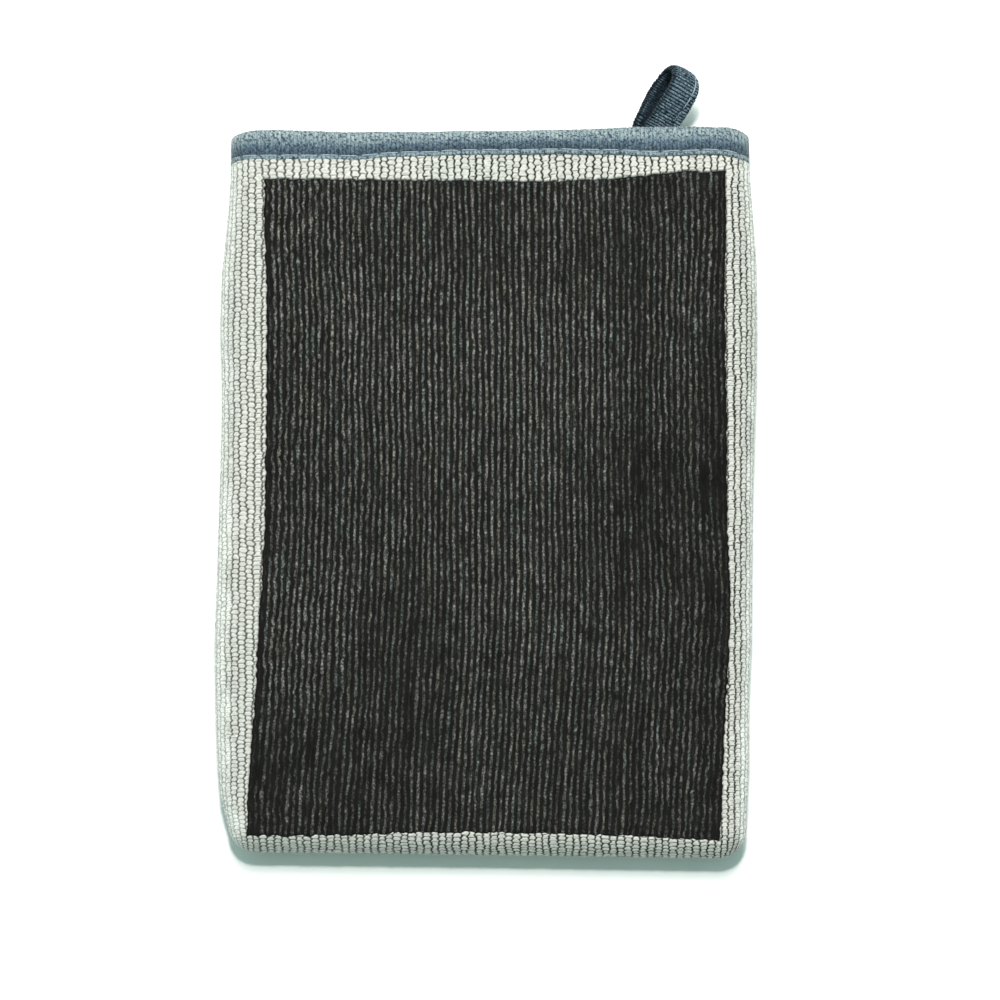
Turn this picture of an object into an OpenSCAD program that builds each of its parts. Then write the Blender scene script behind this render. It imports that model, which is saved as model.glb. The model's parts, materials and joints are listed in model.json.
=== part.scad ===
// Wash mitt: a knitted microfibre bag with a ribbed polymer working face, a bound cuff and a hang loop.
// It lies flat on z = 0 with the cuff towards +Y. The origin is the middle of the flat underside.

/* [Mitt] */
// Length from fingertip edge to cuff edge
mitt_l = 230; // [200:1:260]
// Width across the cuff
cuff_w = 164; // [140:1:180]
// Width across the fingertip end
tip_w = 169; // [145:1:185]
// Thickness of the whole mitt as it lies
mitt_t = 18; // [17:0.5:24]

/* [Layers] */
// Thickness of the outer knit
knit_t = 3.6; // [3:0.1:4]
// Thickness of the lining cloth
lining_t = 0.6; // [0.4:0.1:0.8]
// Thickness of the foam sheet behind the working face
foam_t = 3; // [1.5:0.5:3]
// Thickness of the polymer working face, ribs included
clay_t = 1.6; // [1.2:0.1:2.4]

/* [Working face] */
// Distance between neighbouring ribs
rib_pitch = 1.95; // [1.5:0.05:3]
// Width of the groove between two ribs
groove_w = 0.7; // [0.4:0.1:1]
// Height of a rib
rib_h = 0.7; // [0.3:0.1:1]
// How far the rib crests sit below the knit
clay_drop = 0.2; // [0:0.1:0.5]

/* [Cuff binding] */
// Width of the binding on the outside of the cuff
bind_w = 9; // [7:0.5:12]
// Thickness of the binding tape
bind_t = 1; // [0.8:0.1:1.4]
// Distance of the topstitch from the tape's edge
stitch_in = 2.2; // [1.5:0.1:3]
// Distance between neighbouring stitches
stitch_pitch = 6.2; // [3.5:0.1:7]

/* [Hang loop] */
// Where the loop is sewn, measured from the middle of the cuff
loop_x = 53; // [30:1:65]
// Length of the free loop
loop_l = 20; // [16:0.5:22]
// Width of the loop's tape
tape_w = 10; // [8:0.1:10]
// Thickness of the loop's folded tape
tape_t = 1.7; // [1.2:0.1:1.8]
// Distance between the two legs at the widest place
leg_gap = 13; // [11:0.5:13]
// Lean of the loop towards the side
loop_lean = 26; // [0:1:30]
// Roll of the loop about its own length
loop_roll = 22; // [0:1:24]

/* [Hidden] */
$fn = 64;

half_t = mitt_t / 2;
past = 2; // cutting solids reach this far past what they cut
knit_colour = [0.86, 0.87, 0.84];
clay_colour = [0.13, 0.13, 0.13];
tape_colour = [0.38, 0.47, 0.55];
thread_colour = [0.62, 0.68, 0.72];
lining_colour = [0.80, 0.82, 0.82];
foam_colour = [0.90, 0.88, 0.80];

// The axis of each rounded side edge runs from the cuff end to the tip corner.
edge_cuff = [cuff_w / 2 - half_t, mitt_l / 2];
edge_tip = [tip_w / 2 - half_t, half_t - mitt_l / 2];
edge_run = edge_cuff - edge_tip;
edge_l = norm(edge_run);
edge_lean = atan2(-edge_run.x, edge_run.y);

// Depths below the outer face, and places along Y, at the cuff.
lining_in = knit_t + lining_t;
bind_in = lining_in + bind_t;
rim_y = mitt_l / 2 - bind_w;
rim_end = mitt_l / 2 - bind_t;
stitch_y = rim_y + stitch_in;
stitch_x = edge_cuff.x + (stitch_y - edge_cuff.y) * edge_run.x / edge_run.y;

// The foam stops short of the cuff with a sloping, blunt end.
foam_top = mitt_t - knit_t;
foam_low = foam_top - foam_t;
foam_end = rim_y - 2;
foam_slope = 8;
foam_blunt = 0.8;

// The working face is a four-sided patch, a little askew.
clay_outline = [[-69.5, 98], [72.6, 100.5], [74, -110], [-74.4, -108]];
clay_half_w = 75;
rib_count = floor(2 * clay_half_w / rib_pitch);

thread_r = 0.25;
seam_r = 0.4;
groove_d = 0.6;
groove_half = 0.4;
play = 0.05;

// The loop bends about its own width at a line just outside the cuff.
hinge_out = 3;
hinge = [loop_x, mitt_l / 2 + hinge_out, half_t];
hinge_gap = 0.35;
bend_r = (leg_gap + tape_t) / 2;
bend_at = loop_l - bend_r;
flank_turn = acos((bend_r - tape_t) / bend_at);
flank_l = bend_at * sin(flank_turn);
edge_stitch_w = tape_w / 2 - stitch_in;
edge_pitch = 2.8;
bend_stitches = 9;
tail_in = 11; // how far behind the hinge the sewn ends reach
tail_flat = 3; // length of their flat stretch on the back rim

// ---- shapes ----

// The mitt's whole outer volume, shrunk by a depth: a slab with rounded sides, tip and corners.
module pillow(depth) {
    r = half_t - depth;
    translate([0, 0, depth]) linear_extrude(mitt_t - 2 * depth)
        polygon([
            [-edge_cuff.x, edge_cuff.y + past], [-edge_tip.x, edge_tip.y],
            [edge_tip.x, edge_tip.y], [edge_cuff.x, edge_cuff.y + past]
        ]);
    for (side = [-1, 1]) translate([side * edge_tip.x, edge_tip.y, half_t]) {
        rotate([-90, 0, side * edge_lean]) cylinder(r = r, h = edge_l + past);
        sphere(r = r);
    }
    translate([-edge_tip.x, edge_tip.y, half_t]) rotate([0, 90, 0]) cylinder(r = r, h = 2 * edge_tip.x);
}

// Everything between two places along Y and two heights.
module block(y0, y1, z0 = -past, z1 = mitt_t + past) {
    translate([-tip_w / 2 - past, y0, z0]) cube([tip_w + 2 * past, y1 - y0, z1 - z0]);
}

// The layer between two depths, between two places along Y and two heights.
module layer(outer, inner, y0, y1, z0, z1) {
    intersection() {
        difference() {
            pillow(outer);
            pillow(inner);
        }
        block(y0, y1, z0, z1);
    }
}

// One run of stitches along +X from the origin, centred on it.
module stitch_row(count, pitch, r, gap) {
    for (i = [0 : count - 1]) translate([(i - (count - 1) / 2) * pitch, 0, 0])
        rotate([0, 90, 0]) cylinder(r = r, h = pitch - gap, center = true, $fn = 16);
}

// The outer knit of one face: a tray whose rounded walls meet the other tray half way up.
module knit_tray(z0, z1) {
    difference() {
        layer(0, knit_t, -mitt_l, rim_end, z0, z1);
        difference() {
            block(rim_y, mitt_l);
            pillow(bind_t);
        }
        seam_channel();
    }
}

// The round channel for the hidden seam thread, half in each tray.
seam_out = half_t - knit_t / 2;
module seam_channel() {
    r = seam_r + play;
    for (side = [-1, 1]) translate([side * edge_tip.x, edge_tip.y, half_t])
        rotate([0, 0, side * edge_lean]) translate([side * seam_out, 0, 0])
            rotate([-90, 0, 0]) cylinder(r = r, h = edge_l + past, $fn = 24);
    translate([-edge_tip.x, edge_tip.y - seam_out, half_t])
        rotate([0, 90, 0]) cylinder(r = r, h = 2 * edge_tip.x, $fn = 24);
}

// The foam's space; wrap moves its underside and its end out by the lining's thickness.
module foam_space(wrap) {
    intersection() {
        pillow(knit_t);
        translate([-tip_w / 2, 0, 0]) rotate([90, 0, 90]) linear_extrude(tip_w)
            polygon([
                [-mitt_l / 2, foam_low - wrap], [foam_end - foam_slope, foam_low - wrap],
                [foam_end + wrap, foam_top - foam_blunt - wrap], [foam_end + wrap, mitt_t],
                [-mitt_l / 2, mitt_t]
            ]);
    }
}

module clay_prism() {
    translate([0, 0, half_t]) linear_extrude(mitt_t) polygon(clay_outline);
}

// ---- the mitt's pieces ----

module front_panel() {
    color(knit_colour) difference() {
        knit_tray(half_t, mitt_t);
        difference() {
            clay_prism();
            pillow(clay_t);
        }
    }
}

module back_panel() {
    color(knit_colour) knit_tray(0, half_t);
}

module clay_face() {
    color(clay_colour) difference() {
        intersection() {
            clay_prism();
            pillow(clay_drop);
        }
        pillow(clay_t);
        for (i = [0 : rib_count])
            translate([i * rib_pitch - clay_half_w, -mitt_l / 2, mitt_t - clay_drop - rib_h])
                cube([groove_w, mitt_l, rib_h + past]);
    }
}

module front_foam() {
    color(foam_colour) foam_space(0);
}

module lining_front() {
    color(lining_colour) difference() {
        union() {
            layer(knit_t, lining_in, -mitt_l, rim_end, half_t, mitt_t);
            foam_space(lining_t);
        }
        foam_space(0);
    }
}

module lining_back() {
    color(lining_colour) layer(knit_t, lining_in, -mitt_l, rim_end, 0, half_t);
}

module side_seam(side) {
    pitch = 3.6;
    count = floor((edge_l - bind_w) / pitch) - 1;
    color(thread_colour) translate([side * edge_tip.x, edge_tip.y, half_t])
        rotate([0, 0, side * edge_lean]) translate([side * seam_out, (count + 1) * pitch / 2, 0])
            rotate([0, 0, 90]) stitch_row(count, pitch, seam_r, 0.6);
}

module side_seam_left() {
    side_seam(-1);
}

module side_seam_right() {
    side_seam(1);
}

module tip_seam() {
    pitch = 3.6;
    color(thread_colour) translate([0, edge_tip.y - seam_out, half_t])
        stitch_row(floor(2 * edge_tip.x / pitch) - 1, pitch, seam_r, 0.6);
}

// The lining bag's own seam, on the inside of its side and tip walls.
module lining_seam() {
    pitch = 3;
    run = half_t - lining_in - thread_r;
    count = floor((edge_l - bind_w) / pitch) - 1;
    color(lining_colour) {
        for (side = [-1, 1]) translate([side * edge_tip.x, edge_tip.y, half_t])
            rotate([0, 0, side * edge_lean]) translate([side * run, (count + 1) * pitch / 2, 0])
                rotate([0, 0, 90]) stitch_row(count, pitch, thread_r, 0.5);
        translate([0, edge_tip.y - run, half_t])
            stitch_row(floor(2 * edge_tip.x / pitch) - 1, pitch, thread_r, 0.5);
    }
}

// ---- the cuff ----

module cuff_binding() {
    color(tape_colour) difference() {
        layer(0, bind_in, rim_y, mitt_l / 2, -past, mitt_t + past);
        layer(bind_t, lining_in, rim_y - past, rim_end, -past, mitt_t + past);
        layer(-past, groove_d, stitch_y - groove_half, stitch_y + groove_half, -past, mitt_t + past);
        layer(bind_in - groove_d, half_t - past, stitch_y - groove_half, stitch_y + groove_half,
            -past, mitt_t + past);
        join_channel();
    }
}

// Stitches all round the cuff at one depth: straight rows front and back, curved ones at the sides.
module cuff_ring(depth) {
    run = 2 * stitch_x;
    turn = 36;
    r = half_t - depth;
    for (z = [depth, mitt_t - depth]) translate([0, stitch_y, z])
        stitch_row(floor(run / stitch_pitch), stitch_pitch, thread_r, 0.8);
    for (side = [-1, 1]) for (i = [0 : 4])
        translate([side * stitch_x, stitch_y, half_t]) rotate([90, 0, 0])
            rotate([0, 0, 90 - side * (i + 0.5) * turn - 0.35 * turn])
                rotate_extrude(angle = 0.7 * turn) translate([r, 0]) circle(r = thread_r, $fn = 16);
}

module cuff_topstitch() {
    color(thread_colour) cuff_ring(groove_d / 2);
}

module cuff_inner_stitch() {
    color(thread_colour) cuff_ring(bind_in - groove_d / 2);
}

// The binding's two ends overlap on the back, held by one short row across the tape.
join_x = -62;
join_y0 = stitch_y + 1;
join_l = 5;
module join_channel() {
    translate([join_x - groove_half, join_y0, -past]) cube([2 * groove_half, join_l, past + groove_d]);
}

module binding_join_stitch() {
    color(thread_colour) translate([join_x, join_y0 + join_l / 2, groove_d / 2])
        rotate([0, 0, 90]) stitch_row(2, join_l / 2, thread_r, 0.5);
}

// ---- the hang loop ----

// From the loop's own plane, with its length along X and its legs apart along Y, to the cuff.
module loop_place() {
    translate(hinge) rotate([0, loop_roll, -loop_lean]) rotate([90, 0, 90]) children();
}

// The loop as if filled, shrunk by an inset from the tape's outer face:
// a small round root, a large round bend and straight flanks that meet both at a faint crease.
module loop_filled(inset, width) {
    root = tape_t - inset;
    bend = bend_r - inset;
    lean = 0.985 * [-cos(flank_turn), sin(flank_turn)];
    if (inset < tape_t) cylinder(r = root, h = width, center = true);
    translate([bend_at, 0, 0]) cylinder(r = bend, h = width, center = true);
    linear_extrude(width, center = true) polygon([
        root * lean, [bend_at, 0] + bend * lean,
        [bend_at + bend * lean.x, -bend * lean.y], [root * lean.x, -root * lean.y]
    ]);
}

module hang_loop() {
    color(tape_colour) loop_place() difference() {
        loop_filled(0, tape_w);
        loop_filled(tape_t, tape_w + 2 * past);
        translate([0, 0, edge_stitch_w]) difference() {
            loop_filled(-past, 2 * groove_half);
            loop_filled(groove_d, 2 * groove_half + past);
        }
    }
}

// Stitches along one edge of the tape: straight ones on the flanks and curved ones round the bend.
module loop_edge_stitch() {
    in = groove_d / 2;
    root = tape_t + hinge_gap;
    count = floor((flank_l - root) / edge_pitch);
    turn = 2 * (180 - flank_turn) / bend_stitches;
    color(thread_colour) loop_place() translate([0, 0, edge_stitch_w]) {
        for (flank = [0, 1]) mirror([0, flank, 0]) rotate([0, 0, 90 - flank_turn])
            translate([(root + flank_l) / 2, tape_t - in, 0])
                stitch_row(count, (flank_l - root) / count, thread_r, 0.6);
        for (i = [0 : bend_stitches - 1]) translate([bend_at, 0, 0])
            rotate([0, 0, flank_turn - 180 + (i + 0.1) * turn])
                rotate_extrude(angle = 0.8 * turn) translate([bend_r - in, 0])
                    circle(r = thread_r, $fn = 16);
    }
}

// The two sewn ends of the tape: flat on the back rim's inner face, then turning up to the loop.
module loop_anchor() {
    end_t = 0.5;
    color(tape_colour) {
        hull() {
            translate(hinge) rotate([0, loop_roll, -loop_lean])
                translate([-tape_w / 2, -tape_t - hinge_gap - end_t, -tape_t])
                    cube([tape_w, end_t, 2 * tape_t]);
            tail_slab(tail_flat - end_t, end_t);
        }
        tail_slab(0, tail_flat);
    }
}

// A length of the two flat layers of the tail.
module tail_slab(from, length) {
    tail_place() translate([-tape_w / 2, from, 0]) cube([tape_w, length, 2 * tape_t]);
}

// The middle of the tail's inner end, on the back rim's inner face.
module tail_place() {
    translate([hinge.x, hinge.y, bind_in]) rotate([0, 0, -loop_lean]) translate([0, -tail_in, 0])
        children();
}

module loop_bar_tack() {
    tack_l = 2.4;
    color(thread_colour) tail_place() for (i = [-1.5 : 1.5])
        translate([i * 2.2, tail_flat / 2, 2 * tape_t + thread_r]) rotate([0, 0, 70])
            stitch_row(1, tack_l, thread_r, 0);
}

front_panel();
back_panel();
clay_face();
front_foam();
lining_front();
lining_back();
side_seam_left();
side_seam_right();
tip_seam();
lining_seam();
cuff_binding();
cuff_topstitch();
cuff_inner_stitch();
binding_join_stitch();
hang_loop();
loop_edge_stitch();
loop_anchor();
loop_bar_tack();
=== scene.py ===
"""The wash mitt as it looks: knitted bag, ribbed face, bound cuff and hang loop, on a pale floor."""

import json
import math

import bpy
import numpy as np
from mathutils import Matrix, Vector

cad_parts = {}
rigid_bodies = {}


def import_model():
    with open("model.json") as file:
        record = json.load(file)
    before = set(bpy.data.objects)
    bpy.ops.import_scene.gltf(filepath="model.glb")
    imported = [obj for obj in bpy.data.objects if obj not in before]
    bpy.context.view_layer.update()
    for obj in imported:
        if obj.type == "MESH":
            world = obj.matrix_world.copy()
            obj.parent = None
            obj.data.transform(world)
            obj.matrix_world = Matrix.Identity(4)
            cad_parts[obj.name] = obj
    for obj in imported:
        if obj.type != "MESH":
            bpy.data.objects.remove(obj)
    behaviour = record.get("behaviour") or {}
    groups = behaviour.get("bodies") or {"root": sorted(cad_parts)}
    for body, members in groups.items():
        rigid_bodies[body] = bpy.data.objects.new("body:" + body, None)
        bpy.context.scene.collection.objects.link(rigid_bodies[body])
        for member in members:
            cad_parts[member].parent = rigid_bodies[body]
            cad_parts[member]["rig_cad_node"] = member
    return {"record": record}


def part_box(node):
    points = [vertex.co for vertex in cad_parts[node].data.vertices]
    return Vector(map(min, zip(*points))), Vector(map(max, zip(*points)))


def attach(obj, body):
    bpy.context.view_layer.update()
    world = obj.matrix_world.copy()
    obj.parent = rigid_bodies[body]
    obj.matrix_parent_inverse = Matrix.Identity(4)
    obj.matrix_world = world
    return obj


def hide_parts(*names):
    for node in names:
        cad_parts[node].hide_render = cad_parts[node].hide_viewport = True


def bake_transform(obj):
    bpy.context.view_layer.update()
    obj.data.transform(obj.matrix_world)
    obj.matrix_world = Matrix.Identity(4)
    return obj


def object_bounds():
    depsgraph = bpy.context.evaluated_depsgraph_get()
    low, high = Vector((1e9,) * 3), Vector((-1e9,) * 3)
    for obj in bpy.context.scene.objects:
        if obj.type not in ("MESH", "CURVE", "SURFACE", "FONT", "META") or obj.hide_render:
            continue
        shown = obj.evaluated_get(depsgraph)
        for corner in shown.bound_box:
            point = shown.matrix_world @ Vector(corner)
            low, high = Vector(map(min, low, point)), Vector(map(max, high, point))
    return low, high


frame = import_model()
CAD_LOW, CAD_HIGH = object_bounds()


def box_mm(node):
    """The corners of a CAD node's box, in millimetres."""
    low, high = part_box(node)
    return np.array(low) * 1000, np.array(high) * 1000


# ---- sizes, all in millimetres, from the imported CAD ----
BACK_LOW, BACK_HIGH = box_mm("back_panel")
CUFF_LOW, CUFF_HIGH = box_mm("cuff_binding")
CLAY_LOW, CLAY_HIGH = box_mm("clay_face")
FOAM_LOW, FOAM_HIGH = box_mm("front_foam")
LINING_LOW = box_mm("lining_back")[0]
TACK_LOW, TACK_HIGH = box_mm("loop_bar_tack")
TOP_Z = CUFF_HIGH[2]
MID_Z = TOP_Z / 2
ROUND = MID_Z - BACK_LOW[2]  # radius of the rounded side edges
CUFF_Y = CUFF_HIGH[1]
RIM_Y = CUFF_LOW[1]
TIP_Y = BACK_LOW[1]
KNIT_T = LINING_LOW[2]
JOIN_X = sum(v[0] for v in box_mm("binding_join_stitch")) / 2
BIND_IN = TACK_LOW[2] - 3.4
JOINT = frame["record"]["behaviour"]["joints"][0]
HINGE = np.array(JOINT["pos_m"]) * 1000
QUARTER = math.pi * ROUND / 2

# ---- the cloth's own sizes, in millimetres ----
KNIT_COLUMN, KNIT_ROW = 2.3, 1.45
KNIT_TUCK = 5  # how far the knit reaches up under the binding
LINING_SHORT = 3.6  # how far the lining ends below the rim
RIB_COUNT = 74  # ribs across the working face
FACE_W, FACE_L = 146, 208  # the working face's rough width and length
FACE_BACK = 1.75  # depth of the working face's back under the mitt's top
CORD, LOOP_CORD = 1.28, 0.98  # spacing of the cords in the binding and in the loop's tape
STITCH, LOOP_STITCH = 6.3, 5.5  # spacing of the stitches along them
LOOP_CLEAR = 2.2  # how far outside the hinge the loop's stitches start
THREAD_R, LOOP_THREAD_R, TACK_R = 0.18, 0.16, 0.22
SEAM_R = 0.2
FLOOR_Z = -0.1
HOLLOW = 18  # depth of the floor's hollow


def tables(seed):
    """Random values from -1 to 1, the same for the same seed."""
    return np.random.default_rng(seed).uniform(-1, 1, (256, 256))


def noise(x, y, seed, px, py=None):
    """Smooth noise from -1 to 1 with features about px by py across."""
    t = tables(seed)
    gx, gy = np.asarray(x / px, float), np.asarray(y / (py or px), float)
    ix, iy = np.floor(gx).astype(int), np.floor(gy).astype(int)
    fx, fy = gx - ix, gy - iy
    fx, fy = fx * fx * (3 - 2 * fx), fy * fy * (3 - 2 * fy)
    a, b = t[ix % 256, iy % 256], t[(ix + 1) % 256, iy % 256]
    c, d = t[ix % 256, (iy + 1) % 256], t[(ix + 1) % 256, (iy + 1) % 256]
    return (a * (1 - fx) + b * fx) * (1 - fy) + (c * (1 - fx) + d * fx) * fy


def step(a, b, x):
    """A smooth rise from 0 where x is a to 1 where x is b."""
    t = np.clip((x - a) / (b - a), 0, 1)
    return t * t * (3 - 2 * t)


# ---- the mitt's outline and surface ----
def left_edge(y):
    """The outline's left side, which waves a little as cloth does."""
    return BACK_LOW[0] + np.interp(
        y, [-106, -97, -84, -65, -47, -21, 20, 35, 54, 70, 92, 105],
        [4.3, 1.8, 0.8, 0.1, -0.2, 0.5, 1.5, 1.5, 0.8, 1.3, 3.4, 4.1]
    )


def right_edge(y):
    """The outline's right side."""
    return BACK_HIGH[0] + np.interp(
        y, [-106, -84, -65, -47, -21, 0, 20, 35, 54, 76, 101, 106],
        [-4.0, -2.9, -2.8, -1.9, -1.5, -1.2, -0.5, 0.1, 0.5, 0.2, -1.6, -1.9]
    )


def tip_edge(x):
    """The outline's fingertip end."""
    return TIP_Y + np.interp(x, [-80, -30, 5, 36, 80], [1.9, 1.3, 0.9, 0.4, -0.2])


def clay_edges(x, y):
    """The four sides of the working face's outline, and how ragged they are."""
    left = CLAY_LOW[0] + np.interp(
        y, [-108, -97, -84, -65, -47, -34, -12, 20, 60, 82, 98],
        [0.3, 0.6, 1.4, 2.9, 3.5, 4.4, 5.4, 5.7, 5.7, 4.8, 4.8],
    )
    right = CLAY_HIGH[0] + np.interp(
        y, [-110, -103, -84, -65, -47, -34, -12, 20, 60, 82, 100],
        [-2.0, -1.3, -0.6, 0.5, 1.7, 2.0, 0.9, 0.9, 0.4, 1.1, 1.0],
    )
    top = CLAY_HIGH[1] + np.interp(x, [-70, -20, 20, 45, 60, 75], [-2.3, -2.6, -2.9, -1.6, 0.2, 0.3])
    low = CLAY_LOW[1] + np.interp(
        x, [-75, -50, -27, 5, 36, 60, 74], [1.0, 0.9, 1.7, 1.8, 0.9, -0.1, -1.2]
    )
    ragged = 0.30 * noise(x, y, 31, 1.6) + 0.20 * noise(x, y, 32, 0.8)
    return left, right, top, low, ragged


def clay_depth_in(x, y):
    """Distance inside the working face's ragged outline; negative is outside."""
    left, right, top, low, ragged = clay_edges(x, y)
    inside = np.minimum(np.minimum(x - left, right - x), np.minimum(top - y, y - low))
    return inside + ragged


def swell(x, y):
    """How far the front stands above or below its flat height."""
    return 0.55 * noise(x + 400, y + 400, 5, 70) + 0.25 * noise(x + 400, y + 400, 6, 26)


def across(count, y):
    """Core places, sideways lean and unfolded places of the points in each row."""
    left, right = left_edge(y) + ROUND, right_edge(y) - ROUND
    flat = right - left
    total = flat + 2 * QUARTER
    s = np.linspace(0, 1, count)[:, None] * total
    core = np.clip(s - QUARTER, 0, flat) + left
    lean = np.where(
        s < QUARTER,
        -np.cos(np.clip(s, 0, QUARTER) / ROUND),
        np.cos(np.clip(total - s, 0, QUARTER) / ROUND),
    )
    return core, lean, s - QUARTER + left


def along(count, end):
    """Core places, lengthwise lean and unfolded places from the tip's seam to end."""
    start = TIP_Y + ROUND
    t = np.linspace(-QUARTER, end - start, count)
    return np.clip(t, 0, None) + start, -np.cos(np.clip(t + QUARTER, 0, QUARTER) / ROUND), t + start


def bag(nu, nv, end, side):
    """Core points of one face, its outward directions and unfolded places. side is 1 for the front."""
    y, ny, v = along(nv, end)
    x, nx, u = across(nu, y)
    ny = np.broadcast_to(ny, nx.shape)
    bx, by = nx * np.sqrt(1 - ny**2 / 2), ny * np.sqrt(1 - nx**2 / 2)
    bz = side * np.sqrt(np.clip(1 - bx**2 - by**2, 0, 1))
    yy = y[None, :] + (tip_edge(x) - TIP_Y) * step(-60, -106, y[None, :])
    core = np.stack([x, yy, np.full_like(x, MID_Z)], -1)
    return core, np.stack([bx, by, bz], -1), u, np.broadcast_to(v, u.shape)


# ---- meshes ----
def build(name, points, faces, layers=(), smooth=True):
    """A mesh object from points in millimetres and a list of face arrays."""
    me = bpy.data.meshes.new(name)
    me.vertices.add(len(points))
    me.vertices.foreach_set("co", (np.asarray(points) * 0.001).astype(np.float32).ravel())
    corners = np.concatenate([f.ravel() for f in faces]).astype(np.int32)
    sizes = np.concatenate([np.full(len(f), f.shape[1]) for f in faces])
    me.loops.add(len(corners))
    me.loops.foreach_set("vertex_index", corners)
    me.polygons.add(len(sizes))
    starts = np.concatenate([[0], np.cumsum(sizes)[:-1]]).astype(np.int32)
    me.polygons.foreach_set("loop_start", starts)
    me.update(calc_edges=True)
    me.validate()
    if smooth:
        me.shade_smooth()
    for key, values in dict(layers).items():
        attr = me.attributes.new(key, "FLOAT", "POINT")
        attr.data.foreach_set("value", np.asarray(values, np.float32).ravel())
    ob = bpy.data.objects.new(name, me)
    bpy.context.scene.collection.objects.link(ob)
    return ob


def grid_faces(nu, nv, base=0, flip=False, wrap_u=False, wrap_v=False):
    """Four-sided faces between nu by nv points, which may close round on themselves."""
    i = np.arange(nu if wrap_u else nu - 1)[:, None]
    j = np.arange(nv if wrap_v else nv - 1)[None, :]
    i2, j2 = (i + 1) % nu, (j + 1) % nv
    q = [i * nv + j, i2 * nv + j, i2 * nv + j2, i * nv + j2]
    q = np.stack([np.broadcast_to(k, (i.shape[0], j.shape[1])) for k in q], -1)
    q = q.reshape(-1, 4) + base
    return q[:, ::-1] if flip else q


def rim_faces(fine, coarse, k, flip):
    """Triangles between a fine border and a coarse one that has every k-th place."""
    tris = []
    for t in range(k):
        a, b = fine[t:-1:k], fine[t + 1 :: k]
        c = coarse[:-1] if t < k // 2 else coarse[1:]
        tris.append(np.stack([a, b, c], -1))
    tris.append(np.stack([fine[k // 2 :: k][: len(coarse) - 1], coarse[1:], coarse[:-1]], -1))
    tris = np.concatenate(tris)
    return tris[:, ::-1] if flip else tris


def shell(name, outer, inner, k, flip, layers=()):
    """A closed skin: a fine outer grid, a coarse inner grid and the rims between them."""
    nu, nv = outer.shape[:2]
    mu, mv = inner.shape[:2]
    base = nu * nv
    fine = np.arange(nu * nv).reshape(nu, nv)
    rough = np.arange(mu * mv).reshape(mu, mv) + base
    faces = [grid_faces(nu, nv, 0, flip), grid_faces(mu, mv, base, not flip)]
    tris = [
        rim_faces(fine[:, 0], rough[:, 0], k, not flip),
        rim_faces(fine[:, -1], rough[:, -1], k, flip),
        rim_faces(fine[0], rough[0], k, flip),
        rim_faces(fine[-1], rough[-1], k, not flip),
    ]
    extra = {n: np.concatenate([v.ravel(), np.zeros(mu * mv)]) for n, v in dict(layers).items()}
    points = np.concatenate([outer.reshape(-1, 3), inner.reshape(-1, 3)])
    return build(name, points, faces + tris, extra)


def tubes(name, paths, radius, sides=8, twist=1.4, ply=0.12):
    """Threads along paths, each a closed tube with the twist of two plies."""
    points, faces, base = [], [], 0
    for path in paths:
        n = len(path)
        t = np.gradient(path, axis=0)
        t /= np.linalg.norm(t, axis=1)[:, None]
        ref = np.array([0.31, 0.22, 0.93])
        a = np.cross(t, ref)
        a /= np.linalg.norm(a, axis=1)[:, None]
        b = np.cross(t, a)
        s = np.concatenate([[0], np.cumsum(np.linalg.norm(np.diff(path, axis=0), axis=1))])
        th = np.linspace(0, 2 * math.pi, sides, endpoint=False)
        r = radius * (1 + ply * np.cos(2 * (th[None, :] - s[:, None] * twist)))
        end = np.minimum(s, s[-1] - s) / radius
        r = r * np.sqrt(np.clip(1 - (1 - np.clip(end, 0.04, 1)) ** 2, 0, 1))[:, None]
        ring = path[:, None] + r[..., None] * (
            np.cos(th)[None, :, None] * a[:, None] + np.sin(th)[None, :, None] * b[:, None]
        )
        points += [ring.reshape(-1, 3), path[[0, -1]]]
        faces.append(grid_faces(n, sides, base, True, wrap_v=True))
        k = np.arange(sides)
        first, last = base + n * sides, base + n * sides + 1
        faces.append(np.stack([np.full(sides, first), base + (k + 1) % sides, base + k], -1)[:, ::-1])
        tail = base + (n - 1) * sides
        faces.append(np.stack([np.full(sides, last), tail + k, tail + (k + 1) % sides], -1)[:, ::-1])
        base += n * sides + 2
    return build(name, np.concatenate(points), faces)


def dress(ob, body, slot, material, *nodes):
    """Gives a piece its body and its material, and hides the CAD nodes it stands for; slot is not used.
    """
    if body:
        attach(ob, body)
    if nodes:
        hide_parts(*nodes)
    ob.data.materials.append(material)


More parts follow.
